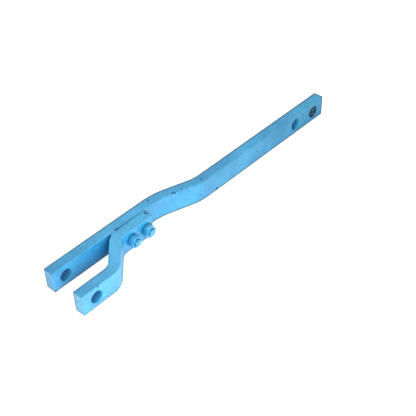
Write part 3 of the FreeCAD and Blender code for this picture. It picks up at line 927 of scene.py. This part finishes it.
fastenerPaint = enamelOnSteel("enamelledFastener")
nutPaint = enamelOnNut()
threadPaint = shadedEnamel("enamelledThread", "thread")
springPaint = shadedEnamel("enamelledSpringSteel", "spring")
headTree = hexagonTree("boltHead", fastenerValues["headHeight"], False)
nutTree = hexagonTree("hexNut", fastenerValues["nutHeight"], True)
ringTree = washerTree()
threadTree = shankTree()
rounding = fastenerValues["rounding"] * mm
for end in ("front", "rear"):
    low, high = boxOf(end + "_bolt")
    x, z = (low.x + high.x) / 2, (low.z + high.z) / 2
    bearing = high.y - fastenerValues["headHeight"] * mm
    upright = Matrix.Rotation(math.pi / 2, 4, "X")
    lying = upright.to_euler()
    backwards = (upright @ Matrix.Rotation(math.pi, 4, "X")).to_euler()
    shank = bake(end + "Shank", threadTree, {
        "Place": (x, bearing, z), "Turn": lying, "Paint": fastenerPaint,
        "Thread paint": threadPaint})
    head = bake(end + "Head", headTree, {
        "Place": (x, bearing, z), "Turn": backwards, "Paint": fastenerPaint}, rounding=rounding)
    fasten(end + "Bolt", end + "_bolt", [shank, head], "bar")
    low, high = boxOf(end + "_lock_washer")
    ring = bake(end + "Ring", ringTree, {
        "Place": (x, high.y, z), "Turn": lying, "Paint": springPaint}, rounding=rounding)
    fasten(end + "LockWasher", end + "_lock_washer", [ring], end + "_washer")
    low, high = boxOf(end + "_nut")
    spin = Matrix.Rotation(math.radians(fastenerValues["turns"][end]), 4, "Z")
    nut = bake(end + "Hexagon", nutTree, {
        "Place": (x, high.y, z), "Turn": (upright @ spin).to_euler(), "Paint": nutPaint},
        rounding=rounding)
    fasten(end + "Nut", end + "_nut", [nut], end + "_nut")
print("fasteners made")


# Floor, light and camera

floorLook = {
    "size": 12.0,
    "white": 0.8,  # plain white that the paper shows over its own light
    # where the floor glows for glossy rays only, a painted reflection on the paint: its middle,
    # the radii where that is full and ends in m, and its share
    "bright": ((0.0, -0.5), 0.42, 0.95, 1.2),
    "mirrored": 0.0,  # share that it mirrors far from there
    # painted shade in that glow, at places in the drawbar's own shade: x, y, the radii where the
    # shade is full and ends, in m, and the share that the paint still mirrors
    "shaded": [(0.05, 0.01, 0.05, 0.08, 0.1), (0.115, -0.01, 0.045, 0.068, 0.0),
               (-0.055, 0.08, 0.03, 0.05, 0.5), (-0.02, 0.025, 0.02, 0.045, 0.2),
               (0.115, -0.058, 0.02, 0.04, 0.3)],
}
lightLook = {
    "sky": 0.32,
    "mirrored": 0.5,  # share of the white surroundings that the paint mirrors
    "lamps": {  # place, size in m and watts
        "window": ((-0.5, -0.9, 0.45), 0.6, 8.7),
        "top": ((0.6, 0.3, 1.6), 1.0, 8.3),
        "front": ((0.15, -1.0, 0.5), 0.6, 3.1),
        "back": ((-1.0, 0.6, 1.2), 1.0, 2.0),
    },
}
cameraLook = {
    "place": (-0.80068, -1.16792, 1.43371),
    "azimuth": -46.807,
    "elevation": 41.345,
    "roll": -1.509,
    "lens": 75.19,
}

def whitePaper():
    # The floor: matt white paper, as white as the backdrop where no shadow falls on it.
    # For glossy rays the paper also glows, brightest in front of the drawbar and dimmed at the
    # shaded places: a painted reflection on the paint, with painted shade in it.
    material = bpy.data.materials.new("whitePaper")
    material.use_nodes = True
    tree = material.node_tree
    shader = tree.nodes["Principled BSDF"]
    shader.inputs["Base Color"].default_value = linear("#f4f4f4")
    shader.inputs["Roughness"].default_value = 0.9
    shader.inputs["Specular IOR Level"].default_value = 0.0
    rays = addNode(tree, "ShaderNodeLightPath").outputs
    place = addNode(tree, "ShaderNodeTexCoord").outputs["Object"]
    middle, near, far, most = floorLook["bright"]
    away = addNode(tree, "ShaderNodeVectorMath", {
        0: place, 1: (*middle, 0.0)}, operation="DISTANCE")
    mirrored = addNode(tree, "ShaderNodeMapRange", {
        "Value": away.outputs["Value"], "From Min": near, "From Max": far,
        "To Min": most, "To Max": floorLook["mirrored"]})
    glossy = addNode(tree, "ShaderNodeMath", {
        0: rays["Is Glossy Ray"], 1: mirrored.outputs[0]}, operation="MULTIPLY")
    for x, y, inner, outer, left in floorLook["shaded"]:
        inside = addNode(tree, "ShaderNodeVectorMath", {
            0: place, 1: (x, y, 0.0)}, operation="DISTANCE")
        shaded = addNode(tree, "ShaderNodeMapRange", {
            "Value": inside.outputs["Value"], "From Min": inner, "From Max": outer, "To Min": left})
        glossy = addNode(tree, "ShaderNodeMath", {
            0: glossy.outputs[0], 1: shaded.outputs[0]}, operation="MULTIPLY")
    seen = addNode(tree, "ShaderNodeMath", {0: rays["Is Camera Ray"], 1: glossy.outputs[0]},
                   operation="MAXIMUM")
    seen = addNode(tree, "ShaderNodeMath", {0: seen.outputs[0], 1: rays["Is Transmission Ray"]},
                   operation="MAXIMUM")
    share = addNode(tree, "ShaderNodeMath", {0: seen.outputs[0], 1: floorLook["white"]},
                    operation="MULTIPLY")
    glow = addNode(tree, "ShaderNodeEmission", {
        "Color": (1, 1, 1, 1), "Strength": share.outputs[0]})
    mixed = addNode(tree, "ShaderNodeAddShader", {0: shader.outputs[0], 1: glow.outputs[0]})
    tree.links.new(mixed.outputs[0], tree.nodes["Material Output"].inputs["Surface"])
    return material


ground = bpy.data.meshes.new("paperFloor")
half = floorLook["size"] / 2
level = barLow.z * mm
square = ((-half, -half), (half, -half), (half, half), (-half, half))
ground.from_pydata([(x, y, level) for x, y in square], [], [(0, 1, 2, 3)])
ground.materials.append(whitePaper())
floor = bpy.data.objects.new("paperFloor", ground)
bpy.context.scene.collection.objects.link(floor)

world = bpy.data.worlds.new("studio")
bpy.context.scene.world = world
world.use_nodes = True
sky = world.node_tree
rays = addNode(sky, "ShaderNodeLightPath").outputs
glossy = addNode(sky, "ShaderNodeMath", {
    0: rays["Is Glossy Ray"], 1: lightLook["mirrored"]}, operation="MULTIPLY")
seen = addNode(sky, "ShaderNodeMath", {
    0: rays["Is Camera Ray"], 1: glossy.outputs[0]}, operation="MAXIMUM")
seen = addNode(sky, "ShaderNodeMath", {
    0: seen.outputs[0], 1: rays["Is Transmission Ray"]}, operation="MAXIMUM")
strength = addNode(sky, "ShaderNodeMapRange", {
    "Value": seen.outputs[0], "To Min": lightLook["sky"], "To Max": 1.0})
sky.nodes["Background"].inputs["Color"].default_value = (1, 1, 1, 1)
sky.links.new(strength.outputs[0], sky.nodes["Background"].inputs["Strength"])

for name, (place, size, watts) in lightLook["lamps"].items():
    lamp = bpy.data.lights.new(name, "AREA")
    lamp.energy = watts
    lamp.size = size
    window = bpy.data.objects.new(name, lamp)
    window.location = place
    aim = Vector((0.25, 0, 0)) - window.location
    window.rotation_euler = aim.to_track_quat("-Z", "Y").to_euler()
    bpy.context.scene.collection.objects.link(window)

lens = bpy.data.cameras.new("camera")
lens.lens = cameraLook["lens"]
lens.sensor_width = 36
lens.clip_end = 50
camera = bpy.data.objects.new("camera", lens)
turn = (Matrix.Rotation(math.radians(cameraLook["azimuth"]), 4, "Z")
        @ Matrix.Rotation(math.radians(90 - cameraLook["elevation"]), 4, "X")
        @ Matrix.Rotation(math.radians(cameraLook["roll"]), 4, "Z"))
camera.matrix_world = Matrix.Translation(cameraLook["place"]) @ turn
bpy.context.scene.collection.objects.link(camera)
bpy.context.scene.camera = camera
bpy.context.scene.view_settings.view_transform = "Standard"
print("stage set")

bpy.context.view_layer.update()
